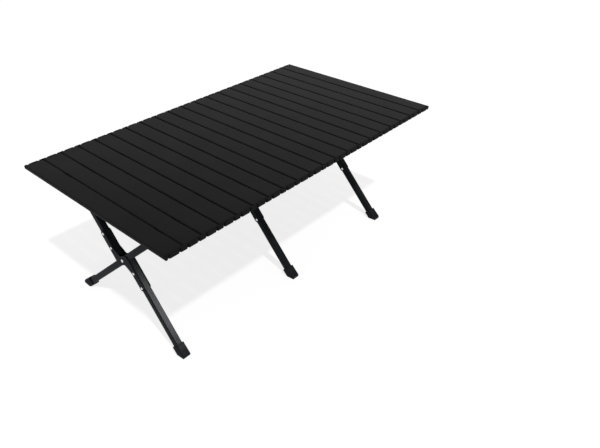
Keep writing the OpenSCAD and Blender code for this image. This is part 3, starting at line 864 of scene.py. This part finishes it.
class CAMPTABLE_OT_stage(bpy.types.Operator):
    """Floor, lights, sky and camera"""

    bl_idname = "camp_table.stage"
    bl_label = "Stage"

    def execute(self, context):
        scene = context.scene
        studio = scene.camp_table_studio
        colours = scene.camp_table_finishes
        scene.view_settings.view_transform = "Standard"
        self.make_floor(scene, studio, linear(colours.floor))
        self.make_sky(scene, studio)
        key = bpy.data.lights.new("key light", "SUN")
        key.angle = studio.key_angle
        key.energy = studio.key
        self.aim(scene, key, studio.key_from, (0, 0, 0))
        strip = bpy.data.lights.new("strip light", "AREA")
        strip.shape = "RECTANGLE"
        strip.size, strip.size_y = studio.strip_size
        strip.spread = studio.strip_spread
        strip.energy = studio.strip
        # This light shows only in reflections, as the sheen on the nearest leg, and casts no second shadow
        sheen = self.aim(scene, strip, studio.strip_at, studio.strip_to)
        sheen.visible_diffuse = sheen.visible_camera = False
        camera = bpy.data.cameras.new("camera")
        camera.sensor_fit = "HORIZONTAL"
        camera.sensor_width = FILM_WIDTH
        camera.lens = studio.lens
        camera.shift_x, camera.shift_y = studio.shift
        view = bpy.data.objects.new("camera", camera)
        view.location = studio.camera_at
        view.rotation_euler = studio.camera_turn
        scene.collection.objects.link(view)
        scene.camera = view
        return {"FINISHED"}

    def make_floor(self, scene, studio, paper_colour):
        """A wide floor. The camera and reflections see a nearly white glow that still takes the shadow."""
        corners = np.array([[-1, -1, 0], [1, -1, 0], [1, 1, 0], [-1, 1, 0]]) * FLOOR_REACH
        mesh = bpy.data.meshes.new("floor")
        mesh.from_pydata(corners, [], [(0, 1, 2, 3)])
        material = bpy.data.materials.new("studio paper")
        material.use_nodes = True
        tree = material.node_tree
        tree.nodes.clear()
        paper = add_node(tree, "ShaderNodeBsdfDiffuse", {"Color": paper_colour})
        glow = add_node(tree, "ShaderNodeEmission", {"Color": paper_colour, "Strength": studio.glow})
        shade = add_node(tree, "ShaderNodeBsdfDiffuse", {"Color": (studio.shade,) * 3 + (1,)})
        both = add_node(tree, "ShaderNodeAddShader",
                        links={0: glow.outputs["Emission"], 1: shade.outputs["BSDF"]})
        mix = add_node(tree, "ShaderNodeMixShader",
                       links={"Fac": self.seen_directly(tree), 1: paper.outputs["BSDF"],
                              2: both.outputs["Shader"]})
        add_node(tree, "ShaderNodeOutputMaterial", links={"Surface": mix.outputs["Shader"]})
        mesh.materials.append(material)
        floor = bpy.data.objects.new("floor", mesh)
        scene.collection.objects.link(floor)

    def seen_directly(self, tree):
        """A socket that is 1 for camera, glossy and transmission rays, and 0 for the light on the object."""
        path = add_node(tree, "ShaderNodeLightPath").outputs
        either = path["Is Camera Ray"]
        for kind in ("Is Glossy Ray", "Is Transmission Ray"):
            either = add_node(tree, "ShaderNodeMath", {"operation": "MAXIMUM"},
                              {0: either, 1: path[kind]}).outputs["Value"]
        return either

    def make_sky(self, scene, studio):
        """An even sky that is white where the camera or a reflection sees it."""
        world = bpy.data.worlds.new("studio sky")
        world.use_nodes = True
        tree = world.node_tree
        tree.nodes.clear()
        lit = add_node(tree, "ShaderNodeBackground", {"Color": (1, 1, 1, 1), "Strength": studio.sky})
        white = add_node(tree, "ShaderNodeBackground", {"Color": (1, 1, 1, 1), "Strength": 1.0})
        mix = add_node(tree, "ShaderNodeMixShader",
                       links={"Fac": self.seen_directly(tree), 1: lit.outputs["Background"],
                              2: white.outputs["Background"]})
        add_node(tree, "ShaderNodeOutputWorld", links={"Surface": mix.outputs["Shader"]})
        scene.world = world

    def aim(self, scene, lamp, at, target):
        """Adds a lamp that faces a target."""
        light = bpy.data.objects.new(lamp.name, lamp)
        light.location = at
        light.rotation_euler = (Vector(target) - Vector(at)).to_track_quat("-Z", "Y").to_euler()
        scene.collection.objects.link(light)
        return light


class CAMPTABLE_PT_panel(bpy.types.Panel):
    """The table's pieces in the sidebar"""

    bl_label = "Camp table"
    bl_idname = "CAMPTABLE_PT_panel"
    bl_space_type = "VIEW_3D"
    bl_region_type = "UI"
    bl_category = "Camp table"

    def draw(self, context):
        for operator in OPERATORS:
            self.layout.operator(operator.bl_idname)


GROUPS = {
    "camp_table_slats": SlatSizes,
    "camp_table_frames": FrameSizes,
    "camp_table_rails": RailSizes,
    "camp_table_feet": FootSizes,
    "camp_table_finishes": Finishes,
    "camp_table_studio": Studio,
}
OPERATORS = (
    CAMPTABLE_OT_stage,
    CAMPTABLE_OT_slat_bars,
    CAMPTABLE_OT_slat_caps,
    CAMPTABLE_OT_cross_plates,
    CAMPTABLE_OT_leg_tubes,
    CAMPTABLE_OT_boots,
    CAMPTABLE_OT_rails,
)
CLASSES = (*GROUPS.values(), *OPERATORS, CAMPTABLE_PT_panel)


def register():
    for cls in CLASSES:
        bpy.utils.register_class(cls)
    for name, group in GROUPS.items():
        setattr(bpy.types.Scene, name, PointerProperty(type=group))


def unregister():
    for name in GROUPS:
        delattr(bpy.types.Scene, name)
    for cls in reversed(CLASSES):
        bpy.utils.unregister_class(cls)


def main():
    register()
    bpy.ops.camp_table.stage()
    bpy.ops.camp_table.slat_bars()
    bpy.ops.camp_table.slat_caps()
    bpy.ops.camp_table.cross_plates()
    bpy.ops.camp_table.leg_tubes()
    bpy.ops.camp_table.boots()
    bpy.ops.camp_table.rails()


if __name__ == "__main__":
    main()
